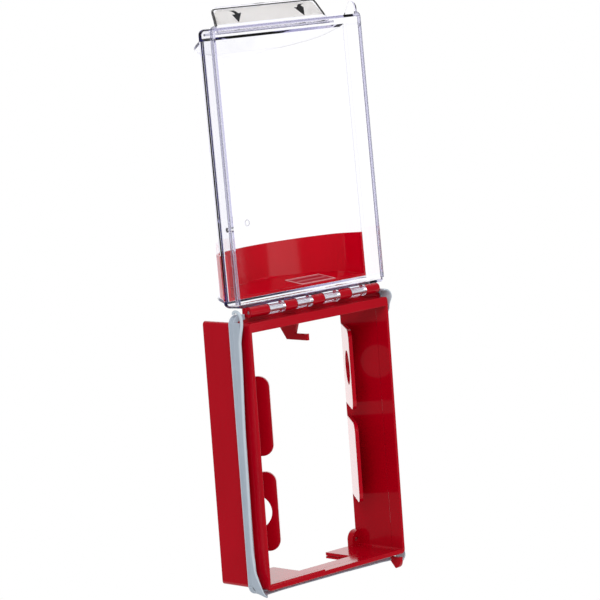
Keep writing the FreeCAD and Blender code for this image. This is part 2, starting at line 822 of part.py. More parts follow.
def make_clear_cover():
    """Tray, bowed front, four knuckles, lift tab, seal ear, seal hole and gate mark, in one clear
    moulding."""
    nothing = as_length(0)
    wall = size["cover_wall"]
    outside = boolean("MultiFuse", "cover_outside", [skirt_block("skirt_outside", nothing, nothing),
                                                     dome_block("dome_outside", nothing)])
    inside = boolean("MultiFuse", "cover_inside", [skirt_block("skirt_inside", wall, half_cover_wall),
                                                   dome_block("dome_inside", wall)])
    pieces = [cut("cover_shell", outside, inside), lift_tab(), seal_ear()]
    for number, (left, right) in enumerate(cover_knuckles(), start=1):
        pieces.append(rod("cover_barrel_%d" % number, left, right - left, size["knuckle_radius"]))
        pieces.append(block("cover_leg_%d" % number, (left, rim, 0),
                            (right, -rim, hinge_end + half_cover_wall)))
    solid = boolean("MultiFuse", "cover_solid", pieces)
    bore = rod("cover_bore", hinge_left, hinge_right - hinge_left,
               size["pin_radius"] + size["pin_clearance"])
    seal_hole = rod("cover_seal_hole", -cover_half - half_cover_wall, 2 * wall,
                    size["seal_hole_radius"], rim + size["seal_hole_depth"],
                    hinge_end + size["seal_hole_height"])
    holes = boolean("MultiFuse", "cover_holes", [bore, seal_hole, gate_mark()])
    return hang_on_hinge(cut("clear_cover", solid, holes))


def make_label_hood():
    """The red hood inside the bowed front, at the hinge end: a roof and an arched wall."""
    outer = size["cover_wall"] + size["hood_gap"]
    shell = cut("hood_shell", dome_block("hood_outside", outer),
                dome_block("hood_inside", outer + size["hood_wall"]))
    limit = block("hood_limit", (-cover_half, rim + size["hood_start"], 0),
                  (cover_half, crown, hinge_end + size["hood_height"]))
    return hang_on_hinge(boolean("MultiCommon", "label_hood", [shell, limit]))


def make_lift_label():
    """The film on the outer face of the lift tab."""
    body = doc.addObject("PartDesign::Body", "lift_label")
    base = (0.0, free_end - size["ledge_round"], -ledge)
    sketch = tilted_sketch(body, "lift_label_outline", "XZ", base, (-1, 0, 0), size["tab_flare"])
    tab_outline(sketch, size["label_margin"])
    pad(body, sketch, size["label_thickness"], reverse=True)
    return hang_on_hinge(body)


def make_hood_sticker():
    """A bare paper sticker on the underside of the hood's roof."""
    body = doc.addObject("PartDesign::Body", "hood_sticker")
    climb = size["dome_hinge_slope"] / size["dome_rise"]
    cover_of_roof = size["cover_wall"] + size["hood_gap"] + size["hood_wall"]
    height = (hinge_end + size["dome_hinge_ledge"] + climb * size["sticker_depth"]
              + cover_of_roof * slope_stretch(climb))
    base = (size["sticker_middle"], ledge + size["sticker_depth"], height)
    sketch = tilted_sketch(body, "hood_sticker_outline", "XY", base, (1, 0, 0), slope_angle(climb))
    half = size["sticker_width"] / 2
    rectangle(sketch, -half, 0.0, half, size["sticker_length"])
    pad(body, sketch, size["label_thickness"])
    return hang_on_hinge(body)


NODES = [
    make_back_box(),
    make_front_frame(),
    make_edge_gasket(),
    make_hinge_pin(),
    make_clear_cover(),
    make_label_hood(),
    make_lift_label(),
    make_hood_sticker(),
]

doc.recompute()
for thing in doc.Objects:
    if "Invalid" in thing.State or "Error" in thing.State:
        raise RuntimeError("%s did not build: %s" % (thing.Label, thing.State))

os.makedirs("parts", exist_ok=True)
for node in NODES:
    shape = node.Shape
    if shape.isNull() or not shape.isValid() or len(shape.Solids) != 1:
        raise RuntimeError("%s is not one sound solid" % node.Label)
    shape.exportStep("parts/%s.step" % node.Label)
    box = shape.BoundBox
    print("%-13s X %.1f..%.1f  Y %.1f..%.1f  Z %.1f..%.1f" % (
        node.Label, box.XMin, box.XMax, box.YMin, box.YMax, box.ZMin, box.ZMax))
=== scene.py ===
# %% [markdown]
# # A hinged clear cover on a red wall frame
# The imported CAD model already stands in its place, in metres, with +Z up and -Y towards the room.
# This lesson dresses it: finishes for the mouldings, a rubber edge that looks like rubber, the small
# printed marks, a studio, and a camera that stands where the photographer stood.

# %% Load the model
import math

import bmesh
import bpy
from mathutils import Matrix, Vector, geometry


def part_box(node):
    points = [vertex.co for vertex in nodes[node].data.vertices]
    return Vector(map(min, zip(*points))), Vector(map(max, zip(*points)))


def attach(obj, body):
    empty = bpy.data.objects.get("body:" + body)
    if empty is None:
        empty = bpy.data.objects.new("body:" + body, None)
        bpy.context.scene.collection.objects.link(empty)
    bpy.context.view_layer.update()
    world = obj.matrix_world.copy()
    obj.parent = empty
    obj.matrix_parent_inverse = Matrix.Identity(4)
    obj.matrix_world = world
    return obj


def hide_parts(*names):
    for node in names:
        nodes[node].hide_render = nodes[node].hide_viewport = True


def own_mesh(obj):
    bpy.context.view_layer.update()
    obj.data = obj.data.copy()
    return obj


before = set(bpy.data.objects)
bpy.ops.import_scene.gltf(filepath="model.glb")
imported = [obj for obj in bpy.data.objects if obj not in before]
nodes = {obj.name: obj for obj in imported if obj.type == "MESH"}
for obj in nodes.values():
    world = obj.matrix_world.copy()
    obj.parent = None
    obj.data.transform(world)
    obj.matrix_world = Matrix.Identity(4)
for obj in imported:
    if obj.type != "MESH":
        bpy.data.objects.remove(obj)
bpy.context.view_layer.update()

print("loaded", sorted(nodes))

# %% [markdown]
# ## Colour and node helpers
# Colours are written as people read them, as sRGB hex values. Cycles works in linear light, so one
# function turns one into the other. A second one adds a node with its settings and its links, and serves
# shaders and Geometry Nodes alike. Short ones make what most materials share: a noise whose features have
# a real size, a colour that wanders between two, and a fine relief.

# %% Helpers for materials
MM = 0.001


def linear(hex_colour):
    channels = [int(hex_colour[i:i + 2], 16) / 255 for i in (1, 3, 5)]
    return [c / 12.92 if c <= 0.04045 else ((c + 0.055) / 1.055) ** 2.4 for c in channels] + [1.0]


def add_node(tree, kind, inputs=None, **settings):
    node = tree.nodes.new(kind)
    for name, value in settings.items():
        setattr(node, name, value)
    for socket, value in (inputs or {}).items():
        if isinstance(value, bpy.types.NodeSocket):
            tree.links.new(value, node.inputs[socket])
        else:
            node.inputs[socket].default_value = value
    return node


def new_material(name):
    material = bpy.data.materials.new(name)
    material.use_nodes = True
    material.node_tree.nodes.clear()
    output = add_node(material.node_tree, "ShaderNodeOutputMaterial")
    place = add_node(material.node_tree, "ShaderNodeTexCoord").outputs["Object"]
    return material, material.node_tree, output, place


def noise(tree, place, feature_mm, detail):
    """A noise with features of about that size."""
    scale = 1 / (feature_mm * MM)
    texture = add_node(tree, "ShaderNodeTexNoise", {"Vector": place, "Scale": scale, "Detail": detail})
    return texture.outputs["Fac"]


def spread(tree, value, low, high):
    """A value from zero to one, stretched between two limits."""
    return add_node(tree, "ShaderNodeMapRange",
                    {"Value": value, "To Min": low, "To Max": high}).outputs["Result"]


def two_tone(tree, factor, low, high):
    """A colour between two hex colours."""
    mix = add_node(tree, "ShaderNodeMix", {"Factor": factor, 6: linear(low), 7: linear(high)},
                   data_type="RGBA")
    return mix.outputs[2]


def relief(tree, height, strength, depth_mm, **more):
    """A bumped normal. More inputs, such as the normal that it starts from, may be given by name."""
    return add_node(tree, "ShaderNodeBump", {"Height": height, "Strength": strength,
                                             "Distance": depth_mm * MM, **more}).outputs["Normal"]


def finished(material, tree, output, **inputs):
    """A material with one plain shader. Inputs are the shader's own, with _ for a space."""
    named = {name.replace("_", " "): value for name, value in inputs.items()}
    shader = add_node(tree, "ShaderNodeBsdfPrincipled", named)
    tree.links.new(shader.outputs["BSDF"], output.inputs["Surface"])
    return material


# %% [markdown]
# ## Red moulded ABS
# The frame, the box and the hood come from one glossy red moulding compound. A polished mould gives a clear
# gloss with a faint waviness, and the colour drifts a little from the gate to the far end. The waviness is a
# noise of about 25 mm, drawn stronger than the real one so that it shows. The hood's red is painted a shade
# brighter, as painted light, and the frame's red a shade darker, as painted shade on its rail and inner
# walls.

# %% The red
def red_moulded_abs(name, low, high):
    material, tree, output, place = new_material(name)
    colour = two_tone(tree, noise(tree, place, 45, 2.0), low, high)
    wave = noise(tree, place, 25, 1.0)
    grain = noise(tree, place, 0.8, 2.0)
    edge = add_node(tree, "ShaderNodeBevel", {"Radius": 0.6 * MM}, samples=4)
    bumped = relief(tree, wave, 0.1, 0.5, Normal=edge.outputs["Normal"])
    return finished(material, tree, output, Base_Color=colour, Roughness=spread(tree, grain, 0.08, 0.16),
                    Normal=bumped, IOR=1.5, Specular_IOR_Level=0.22)


# painted shade: the frame's red is a darker copy of the one compound
RED = red_moulded_abs("red_moulded_abs", "#a60014", "#b8001a")
# painted light: the hood's red is a brighter copy of the same compound
HOOD_RED_PAINTED_LIGHTER = red_moulded_abs("hood_red_painted_lighter", "#b60016", "#ca001d")
print("made", RED.name, HOOD_RED_PAINTED_LIGHTER.name)

# %% [markdown]
# ## Clear polycarbonate
# The cover is one clear moulding, blued a little so that it doesn't look yellow. Seen through its face it's
# almost nothing; seen along its walls, light has travelled far in it, and the edges turn violet grey.
# Absorption inside the volume gives exactly that. The index is 1.45, a little below polycarbonate's 1.58,
# because at 1.58 the thin walls turn too black. Lamp rays pass straight through, so that what lies behind
# the clear plastic is lit. Two denser, darker copies serve the beads and the outlines made further down:
# they are painted shade for the dark lines at the cover's edges.

# %% The clear plastic
def clear_polycarbonate(name, tint, density):
    material, tree, output, place = new_material(name)
    wave = noise(tree, place, 30, 1.0)
    shader = add_node(tree, "ShaderNodeBsdfPrincipled",
                      {"Base Color": [1, 1, 1, 1], "Roughness": spread(tree, wave, 0.0, 0.02),
                       "Normal": relief(tree, wave, 0.02, 0.2), "IOR": 1.45, "Transmission Weight": 1.0})
    inside = add_node(tree, "ShaderNodeVolumeAbsorption", {"Color": linear(tint), "Density": density})
    lamp_rays = add_node(tree, "ShaderNodeLightPath").outputs["Is Shadow Ray"]
    passing = add_node(tree, "ShaderNodeBsdfTransparent")
    lit_through = add_node(tree, "ShaderNodeMixShader", {0: lamp_rays, 1: shader.outputs["BSDF"],
                                                         2: passing.outputs["BSDF"]})
    tree.links.new(lit_through.outputs["Shader"], output.inputs["Surface"])
    tree.links.new(inside.outputs["Volume"], output.inputs["Volume"])
    return material


CLEAR = clear_polycarbonate("clear_polycarbonate", "#8f88cc", 30.0)
# painted shade: denser copies of the clear plastic darken the cover's edge lines
EDGE_SHADE_CLEAR = clear_polycarbonate("painted_edge_shade_polycarbonate", "#8a87b0", 430.0)
DARK_EDGE_SHADE_CLEAR = clear_polycarbonate("painted_dark_edge_polycarbonate", "#707074", 3000.0)
print("made", CLEAR.name, EDGE_SHADE_CLEAR.name, DARK_EDGE_SHADE_CLEAR.name)

# %% [markdown]
# ## Drawn steel, film, label and ink
# The hinge pin is bright drawn wire, with fine lines along it. The film on the tab is a pale printed
# polyester with a satin face, and the ink on it is matt. The sticker in the hood is a clear label: the red
# shows through it, and only its border and a few bars are printed pale. Their places on the label are
# worked out from its own box.

# %% The small finishes
def drawn_steel():
    material, tree, output, place = new_material("drawn_steel")
    along = add_node(tree, "ShaderNodeMapping", {"Vector": place, "Scale": (0.03, 1, 1)})
    lines = noise(tree, along.outputs["Vector"], 0.4, 3.0)
    return finished(material, tree, output, Base_Color=two_tone(tree, lines, "#bfc0c4", "#dcdde0"),
                    Roughness=spread(tree, lines, 0.2, 0.38), Metallic=1.0)


def printed_sheet(name, low, high, fibre_mm, roughness):
    material, tree, output, place = new_material(name)
    fibre = noise(tree, place, fibre_mm, 4.0)
    return finished(material, tree, output, Base_Color=two_tone(tree, fibre, low, high),
                    Roughness=roughness, Normal=relief(tree, fibre, 0.1, 0.05))


LABEL_BORDER = 1.3 * MM
ROW_PITCH = 4.2 * MM
ROW_START = 2.9 * MM
ROW_MARGIN = 3.5 * MM
ROW_STRENGTH = 0.45


def calculate(tree, operation, first, second=0.0):
    """One step of arithmetic in a shader tree."""
    return add_node(tree, "ShaderNodeMath", {0: first, 1: second}, operation=operation).outputs[0]


def clear_label(middle, half):
    """A clear label on red plastic: pale border lines and a few plain pale bars."""
    material, tree, output, place = new_material("printed_clear_label")
    spot = add_node(tree, "ShaderNodeSeparateXYZ", {"Vector": place}).outputs
    aside = [calculate(tree, "ABSOLUTE", calculate(tree, "SUBTRACT", spot[axis], middle[axis]))
             for axis in (0, 1)]
    on_edge = [calculate(tree, "GREATER_THAN", aside[axis], half[axis] - LABEL_BORDER) for axis in (0, 1)]
    border = calculate(tree, "MAXIMUM", *on_edge)
    rows = calculate(tree, "GREATER_THAN", calculate(tree, "PINGPONG", spot[1], ROW_PITCH), ROW_START)
    inside = calculate(tree, "LESS_THAN", aside[0], half[0] - ROW_MARGIN)
    bars = calculate(tree, "MULTIPLY", calculate(tree, "MULTIPLY", rows, inside), ROW_STRENGTH)
    colour = two_tone(tree, calculate(tree, "MAXIMUM", border, bars), "#a8182c", "#e2b4b8")
    return finished(material, tree, output, Base_Color=colour, Roughness=0.35)


STEEL = drawn_steel()
FILM = printed_sheet("printed_polyester_film", "#fbf9f0", "#fffdf5", 3.0, 0.5)
sticker_low, sticker_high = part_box("hood_sticker")
LABEL = clear_label((sticker_low + sticker_high) / 2, (sticker_high - sticker_low) / 2)
INK = printed_sheet("black_screen_ink", "#020202", "#060607", 1.0, 0.75)
print("made", STEEL.name, FILM.name, LABEL.name, INK.name)

# %% [markdown]
# ## Grey rubber
# The edge on the flange is a soft extruded channel. Extruded rubber is satin, with a fine grain and a dusty
# bloom that makes it paler in places. The channel and the wide left lip take a darker copy of the grey,
# painted shade for the groove between its beads, while the beads, the right lips and the tip keep the paler
# copy, which stands in for their highlight. An almost black copy is painted shade for the inside of a cut.

# %% The rubber
def extruded_rubber(name, low, high):
    material, tree, output, place = new_material(name)
    colour = two_tone(tree, noise(tree, place, 14, 5.0), low, high)
    grain = noise(tree, place, 0.6, 2.0)
    return finished(material, tree, output, Base_Color=colour, Roughness=0.45,
                    Normal=relief(tree, grain, 0.15, 0.1))


# the paler copy stands in for the highlight on the beads, the right lips and the tip
RUBBER = extruded_rubber("grey_extruded_rubber", "#b8c4cf", "#c9d3dc")
# painted shade: a darker copy for the channel and the wide left lip
SHADED_RUBBER = extruded_rubber("painted_shade_rubber", "#a2aebb", "#b1bcc9")
# painted shade: an almost black copy for the inside of the cut
CUT_SHADE_RUBBER = extruded_rubber("painted_cut_shade_rubber", "#1b1d20", "#2b2e32")
print("made", RUBBER.name, SHADED_RUBBER.name, CUT_SHADE_RUBBER.name)

# %% [markdown]
# ## Dress the model
# Each node of the CAD model takes one finish. The gasket's is set too, although a rubber edge made below
# stands in its place.

# %% Give the CAD nodes their finishes
FINISHES = {"back_box": RED, "front_frame": RED, "label_hood": HOOD_RED_PAINTED_LIGHTER, "clear_cover": CLEAR,
            "hinge_pin": STEEL, "lift_label": FILM, "hood_sticker": LABEL, "edge_gasket": RUBBER}
for name, material in FINISHES.items():
    nodes[name].data.materials.clear()
    nodes[name].data.materials.append(material)
print("finished", len(FINISHES), "nodes")

# %% [markdown]
# ## The rubber edge
# A rubber channel is pushed over the flange, round all but the hinge side. It is one shape drawn along a
# route, which is what Geometry Nodes' Curve to Mesh does best: the tree sweeps one rounded bar, and three
# bars, the web and the two walls, make the channel, in the darker rubber that is painted shade. A fourth is
# the bead along its back, in the paler rubber that stands in for its highlight. The routes run along the
# flange's edge, with the depth direction given as the curve's normal so that the bars never twist.

# %% A tree that sweeps a rounded bar along a route
BAR_SIZES = ("Depth", "Height", "Shift back", "Shift inwards", "Rounding")


def bar_tree():
    tree = bpy.data.node_groups.new("bar_along_route", "GeometryNodeTree")
    face = tree.interface
    face.new_socket("Route", in_out="INPUT", socket_type="NodeSocketGeometry")
    for name in BAR_SIZES:
        face.new_socket(name, in_out="INPUT", socket_type="NodeSocketFloat")
    face.new_socket("Depth direction", in_out="INPUT", socket_type="NodeSocketVector")
    face.new_socket("Finish", in_out="INPUT", socket_type="NodeSocketMaterial")
    face.new_socket("Bar", in_out="OUTPUT", socket_type="NodeSocketGeometry")
    given = add_node(tree, "NodeGroupInput").outputs
    straight = add_node(tree, "GeometryNodeSetCurveNormal",
                        {"Curve": given["Route"], "Normal": given["Depth direction"]}, mode="FREE")
    section = add_node(tree, "GeometryNodeCurvePrimitiveQuadrilateral",
                       {"Width": given["Depth"], "Height": given["Height"]})
    rounded = add_node(tree, "GeometryNodeFilletCurve",
                       {"Curve": section.outputs[0], "Radius": given["Rounding"], "Count": 3,
                        "Limit Radius": True}, mode="POLY")
    shift = add_node(tree, "ShaderNodeCombineXYZ", {"X": given["Shift back"], "Y": given["Shift inwards"]})
    moved = add_node(tree, "GeometryNodeTransform",
                     {"Geometry": rounded.outputs[0], "Translation": shift.outputs[0]})
    bar = add_node(tree, "GeometryNodeCurveToMesh",
                   {"Curve": straight.outputs[0], "Profile Curve": moved.outputs[0], "Fill Caps": True})
    real = add_node(tree, "GeometryNodeRealizeInstances", {"Geometry": bar.outputs[0]})
    painted = add_node(tree, "GeometryNodeSetMaterial",
                       {"Geometry": real.outputs[0], "Material": given["Finish"]})
    add_node(tree, "NodeGroupOutput", {"Bar": painted.outputs[0]})
    return tree


BAR = bar_tree()
print("tree", BAR.name, "with", len(BAR.nodes), "nodes")

# %% Routes along the flange's edge
flange_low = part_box("front_frame")[0]
gasket_low, gasket_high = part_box("edge_gasket")
RUBBER_WALL = 1.6 * MM
SNUG = 0.1 * MM
FLANGE_CORNER = 6 * MM
side_x = gasket_high.x - RUBBER_WALL - SNUG
top_z = gasket_high.z - RUBBER_WALL - SNUG
bottom_z = gasket_low.z + RUBBER_WALL + SNUG
flange_y = (gasket_low.y + gasket_high.y) / 2
arc_length = FLANGE_CORNER * math.pi / 2


def edge_point(side, end, along):
    """A point of the flange's edge near a corner, and its outward direction. The distance along is
    zero where the corner's arc leaves the side, and grows towards the top or bottom edge."""
    end_z = top_z if end > 0 else bottom_z
    centre = Vector((side * (side_x - FLANGE_CORNER), flange_y, end_z - end * FLANGE_CORNER))
    angle = min(max(along / FLANGE_CORNER, 0), math.pi / 2)
    outward = Vector((side * math.cos(angle), 0, end * math.sin(angle)))
    point = centre + outward * FLANGE_CORNER
    if along < 0:
        point.z += end * along
    elif along > arc_length:
        point.x -= side * (along - arc_length)
    return point, outward


def corner_points(side, end, start, stop, steps=10):
    spots = [start + (stop - start) * step / steps for step in range(steps + 1)]
    return [edge_point(side, end, along)[0] for along in spots]


HINGE_GAPS = (-73 * MM, 77.5 * MM)
LUG_GAP = (73.4 * MM, 77.6 * MM)
RUN_OVERLAP = 1 * MM
left_end = (side_x - FLANGE_CORNER) + HINGE_GAPS[0] + arc_length
right_end = (side_x - FLANGE_CORNER) - HINGE_GAPS[1] + arc_length
left_run = corner_points(-1, 1, left_end, 0) + corner_points(-1, -1, -RUN_OVERLAP, 0, 1)
bottom_run = corner_points(-1, -1, 0, arc_length) + [Vector((LUG_GAP[0], flange_y, bottom_z))]
last_corner = [Vector((LUG_GAP[1], flange_y, bottom_z))] + corner_points(1, -1, arc_length, 0)
right_run = corner_points(1, -1, 0, -RUN_OVERLAP, 1) + corner_points(1, 1, 0, right_end)
print("routes", len(left_run), len(bottom_run), len(last_corner), len(right_run), "points")

# %% Sweep the bars
SLOT = gasket_high.y - gasket_low.y - 2 * RUBBER_WALL


def swept_bar(route, sizes, finish, depth_way=(0.0, 1.0, 0.0), closed=False):
    """One bar along a route, as a plain mesh."""
    curve = bpy.data.curves.new("route", "CURVE")
    curve.dimensions = "3D"
    spline = curve.splines.new("POLY")
    spline.points.add(len(route) - 1)
    spline.use_cyclic_u = closed
    for spot, point in zip(spline.points, route):
        spot.co = (*point, 1)
    holder = bpy.data.objects.new("route", curve)
    bpy.context.scene.collection.objects.link(holder)
    modifier = holder.modifiers.new("bar", "NODES")
    modifier.node_group = BAR
    given = dict(zip(BAR_SIZES, sizes), Finish=finish)
    given["Depth direction"] = depth_way
    for item in BAR.interface.items_tree:
        if item.in_out == "INPUT" and item.name in given:
            modifier[item.identifier] = given[item.name]
    ready = holder.evaluated_get(bpy.context.evaluated_depsgraph_get())
    mesh = bpy.data.meshes.new_from_object(ready)
    bpy.data.objects.remove(holder)
    bpy.data.curves.remove(curve)
    return mesh


GROOVE_DEPTH = 0.6 * MM
WEB_ROUNDING = 0.2 * MM
WALL_ROUNDING = 0.7 * MM
LEFT_GRIP = 3 * MM
RIGHT_GRIP = 1 * MM
BOTTOM_GRIP = 1.4 * MM
BACK_BEAD_SIZE = 1 * MM
BACK_BEAD_ROUNDING = 0.35 * MM


def channel_meshes(route, grip):
    """The web, and the two walls that reach in by grip. The walls' outer ends stand proud as beads."""
    web_thick = RUBBER_WALL - GROOVE_DEPTH
    web = (SLOT + RUBBER_WALL, web_thick, 0.0, -SNUG - web_thick / 2, WEB_ROUNDING)
    reach = grip + SNUG + RUBBER_WALL
    wall_shift = grip - reach / 2
    walls = [(RUBBER_WALL, reach, side * (SLOT + RUBBER_WALL) / 2, wall_shift, WALL_ROUNDING)
             for side in (-1, 1)]
    return [swept_bar(route, sizes, SHADED_RUBBER) for sizes in (web, *walls)]


def back_bead_mesh(route):
    """A bead along the back wall's outer corner."""
    half = BACK_BEAD_SIZE / 2
    shifts = (SLOT / 2 + RUBBER_WALL - half, half - SNUG - RUBBER_WALL)
    return swept_bar(route, (BACK_BEAD_SIZE, BACK_BEAD_SIZE, *shifts, BACK_BEAD_ROUNDING), RUBBER)


channel = []
back_beads = []
for route, grip in ((left_run, LEFT_GRIP), (bottom_run, BOTTOM_GRIP),
                    (last_corner, BOTTOM_GRIP), (right_run, RIGHT_GRIP)):
    channel += channel_meshes(route, grip)
    back_beads.append(back_bead_mesh(route))
print("swept", len(channel) + len(back_beads), "bars")

# %% [markdown]
# ## Lips of the rubber edge
# A soft lip stands on the channel and meets the closing cover. Bent round a tight corner it doesn't stay
# neat: it has too much rubber there and fans out towards the room. Each lip is a thin sheet lofted through
# rings along the edge, and its height rises and falls smoothly. Along the bottom it droops. On the left its
# tip is a round bead, whose free end curls over at the top. The lips are pieces of their own.

# %% Rings of a lip along the edge
FACE_DEPTH = gasket_low.y
LIP_INSET = 0.2 * MM
STRAIGHT = top_z - bottom_z - 2 * FLANGE_CORNER
# in millimetres, like the stations further down
LIP_ROOT = 0.4
RING_SPACING = 1.5
LIP_SECTION = ((0, 0, 0), (0, 1, 0.5), (0.2, 1, 0), (0.5, 1, 0.3), (0.8, 1, 0), (1, 1, 0.5), (1, 0, 0))


def run_point(side, distance):
    """A point of the flange's edge and its outward direction, by the distance down one side from the
    upper corner's arc. Below zero it is on that arc, and past the straight it goes on to the bottom."""
    if distance <= STRAIGHT:
        return edge_point(side, 1, -distance)
    return edge_point(side, -1, distance - STRAIGHT)


def between(stations, distance):
    """The values at a distance, eased between stations that start with their own distance."""
    for first, second in zip(stations, stations[1:]):
        if distance <= second[0]:
            share = (distance - first[0]) / (second[0] - first[0])
            share = share * share * (3 - 2 * share)
            return [one + (two - one) * share for one, two in zip(first[1:], second[1:])]
    return stations[-1][1:]


def lip_rings(side, stations):
    """Rings of a lip. A station is a distance along the edge, then the lip's height towards the room,
    its droop and its thickness, in millimetres. The tip has two fine beads with a groove between, and
    the root is sunk a little in the channel."""
    start = stations[0][0]
    length = stations[-1][0] - start
    steps = round(length / RING_SPACING)
    rings = []
    for step in range(steps + 1):
        distance = start + length * step / steps
        height, droop, thick = between(stations, distance)
        point, outward = run_point(side, distance * MM)
        skin = point + outward * (SNUG + RUBBER_WALL - LIP_INSET)
        ring = []
        for inwards, rise, back in LIP_SECTION:
            spot = skin - outward * thick * inwards * MM
            spot.z -= droop * rise * MM
            spot.y = FACE_DEPTH + (LIP_ROOT * (1 - rise) - (height - back) * rise) * MM
            ring.append(spot)
        rings.append(ring)
    return rings


# %% Helpers that close a skin and join meshes
def lofted(rings, finish, name):
    """A closed skin through rings of points."""
    shape = bmesh.new()
    loops = [[shape.verts.new(point) for point in ring] for ring in rings]
    count = len(rings[0])
    for first, second in zip(loops, loops[1:]):
        for index in range(count):
            after = (index + 1) % count
            shape.faces.new((first[index], first[after], second[after], second[index]))
    shape.faces.new(list(reversed(loops[0])))
    shape.faces.new(loops[-1])
    bmesh.ops.recalc_face_normals(shape, faces=shape.faces)
    mesh = bpy.data.meshes.new(name)
    shape.to_mesh(mesh)
    shape.free()
    mesh.materials.append(finish)
    return mesh


def joined_piece(name, meshes, crease_degrees=40):
    """One object at the origin from several meshes of one finish."""
    shape = bmesh.new()
    for mesh in meshes:
        shape.from_mesh(mesh)
    whole = bpy.data.meshes.new(name)
    shape.to_mesh(whole)
    shape.free()
    whole.materials.append(meshes[0].materials[0])
    whole.shade_smooth()
    whole.set_sharp_from_angle(angle=math.radians(crease_degrees))
    for mesh in meshes:
        bpy.data.meshes.remove(mesh)
    piece = bpy.data.objects.new(name, whole)
    bpy.context.scene.collection.objects.link(piece)
    return piece


# %% The lips
LEFT_LIP = ((-2, 6.5, 0, 2.6), (12, 5.2, 0, 2.8), (101, 2.2, 0, 2.8), (180, 1.3, 0, 2.8),
            (196, 2.4, 0.2, 2.4), (216.9, 10.5, 2.5, 1.3), (226, 3.0, 1.7, 1.2), (245, 2.2, 1.6, 1.2),
            (300, 2.2, 1.8, 1.2), (355, 2.4, 2.4, 1.2), (371, 2.0, 3.0, 1.2))
UPPER_RIGHT_LIP = ((-10.2, 9.5, 0, 1.3), (-5, 10.5, 0, 1.3), (-1, 10.5, 0, 1.3), (8, 7, 0, 1.3),
                   (20, 1.5, 0, 1.3), (40, 0.8, 0, 1.3))
LOWER_RIGHT_LIP = ((195, 0.8, 0, 1.3), (206, 2.5, 1.0, 1.3), (214, 6.0, 5.5, 1.3), (219.6, 5.0, 7.5, 1.3))
CURL_BENDS = ((-48.2, 96), (-48.8, 100), (-50.8, 104.5), (-51.2, 108.5), (-51.8, 114.5), (-49.5, 118),
              (-45.5, 118.2), (-43.2, 118.3), (-42.3, 117.2), (-42.8, 115.8))
TIP_RADIUS = 1.3 * MM
TIP_STEPS = 89
TIP_SIDES = 10
BEND_POINTS = 9
# in millimetres, like the stations
TIP_START = 217
TIP_LENGTH = 203
TIP_SINK = 0.5
# where the tip starts it has this share of its radius, and it grows over so many rings
THIN_END = 0.45
THIN_RINGS = 20


def tip_path():
    """Up the left lip's tip from the lower corner, then over in a curl at the top. The curl's bends are
    depths and heights in millimetres, as Bezier points."""
    x = gasket_low.x + TIP_RADIUS
    path = []
    for step in range(TIP_STEPS + 1):
        distance = TIP_START - TIP_LENGTH * step / TIP_STEPS
        height, droop = between(LEFT_LIP, distance)[:2]
        point, outward = run_point(-1, distance * MM)
        spot = point + outward * (SNUG + RUBBER_WALL - TIP_RADIUS)
        spot.y = FACE_DEPTH - (height - TIP_SINK) * MM
        spot.z -= droop * MM
        path.append(spot)
    bends = [Vector((x, y * MM, z * MM)) for y, z in CURL_BENDS]
    for first in range(0, len(bends) - 1, 3):
        path += geometry.interpolate_bezier(*bends[first:first + 4], BEND_POINTS)[1:]
    return path


def tip_rings():
    """Round rings along the tip, thinner towards its lower end."""
    path = tip_path()
    sideways = Vector((1, 0, 0))
    turns = [2 * math.pi * step / TIP_SIDES for step in range(TIP_SIDES)]
    rings = []
    for index, point in enumerate(path):
        along = (path[min(index + 1, len(path) - 1)] - path[max(index - 1, 0)]).normalized()
        across = along.cross(sideways)
        radius = TIP_RADIUS * min(1, THIN_END + index / THIN_RINGS)
        rings.append([point + radius * (sideways * math.cos(turn) + across * math.sin(turn))
                      for turn in turns])
    return rings


lips = [lofted(lip_rings(1, UPPER_RIGHT_LIP), RUBBER, "lip"),
        lofted(lip_rings(1, LOWER_RIGHT_LIP), RUBBER, "lip"),
        lofted(tip_rings(), RUBBER, "tip")]
rubber_edge = joined_piece("rubber_edge", channel)
back_bead = joined_piece("rubber_back_bead", back_beads)
rubber_lips = joined_piece("rubber_lips", lips)
left_lip = joined_piece("rubber_left_lip", [lofted(lip_rings(-1, LEFT_LIP), SHADED_RUBBER, "lip")])
for piece in (rubber_edge, back_bead, rubber_lips, left_lip):
    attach(piece, "frame")
    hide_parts("edge_gasket")
for piece in (rubber_lips, left_lip):
    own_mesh(piece)
print("rubber", len(rubber_edge.data.polygons), "faces, lips", len(rubber_lips.data.polygons), "and",
      len(left_lip.data.polygons), "faces")

# %% [markdown]
# ## The bead on the lower lip
# The lower lip is stiffened by a rounded bead along its inner edge, a little higher on its left part. It
# follows a straight path, so the same tree sweeps it, with the red finish.

# %% The bead
LIP_FRONT = flange_low.y + 0.1 * MM
BEAD_DEPTH = 2.6 * MM
BEAD_ROUNDING = 1.1 * MM
BEAD_FOOT = -108.6 * MM
HIGH_TOP = -103.2 * MM
LOW_TOP = -104.6 * MM
BEAD_ENDS = 76.4 * MM
BEAD_STEP = -15 * MM
BEAD_OVERLAP = 2 * MM


def lip_bead(start, stop, top):
    middle = (BEAD_FOOT + top) / 2
    route = [Vector((x, LIP_FRONT + BEAD_DEPTH / 2, middle)) for x in (start, stop)]
    return swept_bar(route, (BEAD_DEPTH, top - BEAD_FOOT, 0.0, 0.0, BEAD_ROUNDING), RED)


lower_bead = joined_piece("lower_lip_bead", [lip_bead(-BEAD_ENDS, BEAD_STEP, HIGH_TOP),
                                             lip_bead(BEAD_STEP - BEAD_OVERLAP, BEAD_ENDS, LOW_TOP)])
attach(lower_bead, "frame")
print("bead", len(lower_bead.data.polygons), "faces")

# %% [markdown]
# ## A relief cut
# The left lip is slit at the lower corner so that it can turn. The cut gapes into a thin dark lens. It is
# drawn as a ribbon on the lip's outer face that tapers at both ends.

